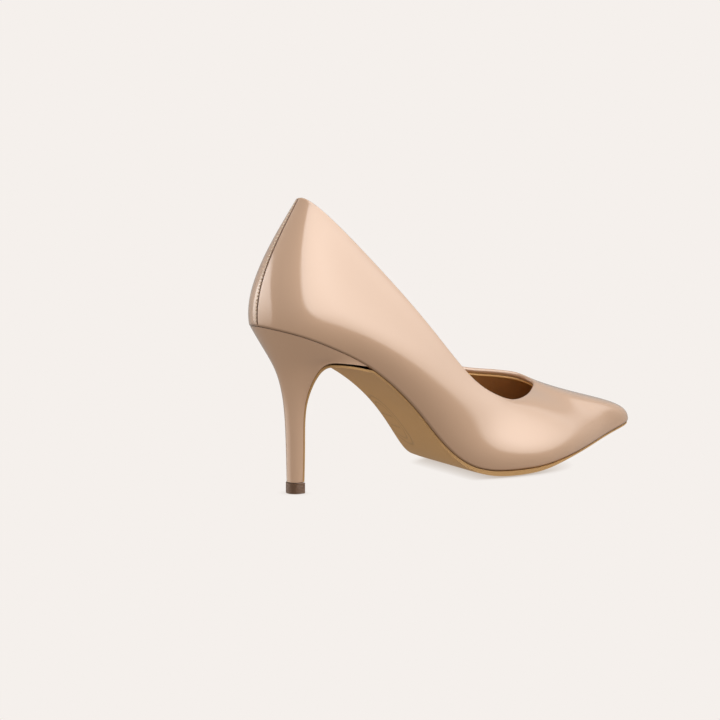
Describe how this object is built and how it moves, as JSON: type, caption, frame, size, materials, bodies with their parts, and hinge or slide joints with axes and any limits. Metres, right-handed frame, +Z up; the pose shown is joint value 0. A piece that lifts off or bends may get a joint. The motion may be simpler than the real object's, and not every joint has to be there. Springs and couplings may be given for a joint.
{
  "type": "high heel pump",
  "caption": "Pointed stiletto pump for the right foot in nude patent, with a covered slim heel, tan outsole, brown lining and its inner boards, shank and stiffeners.",
  "frame": {"origin": "on the floor, under the middle of the shoe's box", "axes": "+X from the heel to the toe, +Y to the inner (medial) side, +Z up"},
  "size_m": [0.2386, 0.0786, 0.143],
  "materials": {
    "nude_patent": "high-gloss clear-coated patent leather",
    "brown_lining": "smooth matt lining leather",
    "tan_sole": "smooth satin sole with a darker edge",
    "fibre_board": "pressed cellulose fibre board, matt",
    "latex_foam": "open-cell latex foam, matt",
    "stiffener": "resin-stiffened non-woven, matt",
    "backing_cloth": "plain woven cotton",
    "heel_plastic": "injection-moulded ABS",
    "tip_rubber": "hard moulded polyurethane, fine ribs",
    "steel": "plain zinc-plated steel"
  },
  "bodies": {
    "root": {"vamp": "nude_patent", "medial_quarter": "nude_patent", "heel_counter": "stiffener", "toe_puff": "stiffener", "vamp_interlining": "backing_cloth", "topline_tape": "backing_cloth", "lateral_quarter_lining": "brown_lining", "vamp_lining": "brown_lining", "medial_quarter_lining": "brown_lining", "insole_board": "fibre_board", "shank_board": "fibre_board", "sock_cushion": "latex_foam", "sock_lining": "brown_lining", "steel_shank": "steel", "forepart_filler": "latex_foam", "outsole": "tan_sole", "heel_cover": "nude_patent", "heel_block": "heel_plastic", "heel_pin_tube": "steel", "heel_seat_screw": "steel", "heel_nail_1": "steel", "heel_nail_2": "steel", "heel_nail_3": "steel", "heel_nail_4": "steel", "shank_rivet_1": "steel", "shank_rivet_2": "steel", "top_piece": "tip_rubber", "top_piece_dowel": "steel"}
  },
  "joints": []
}
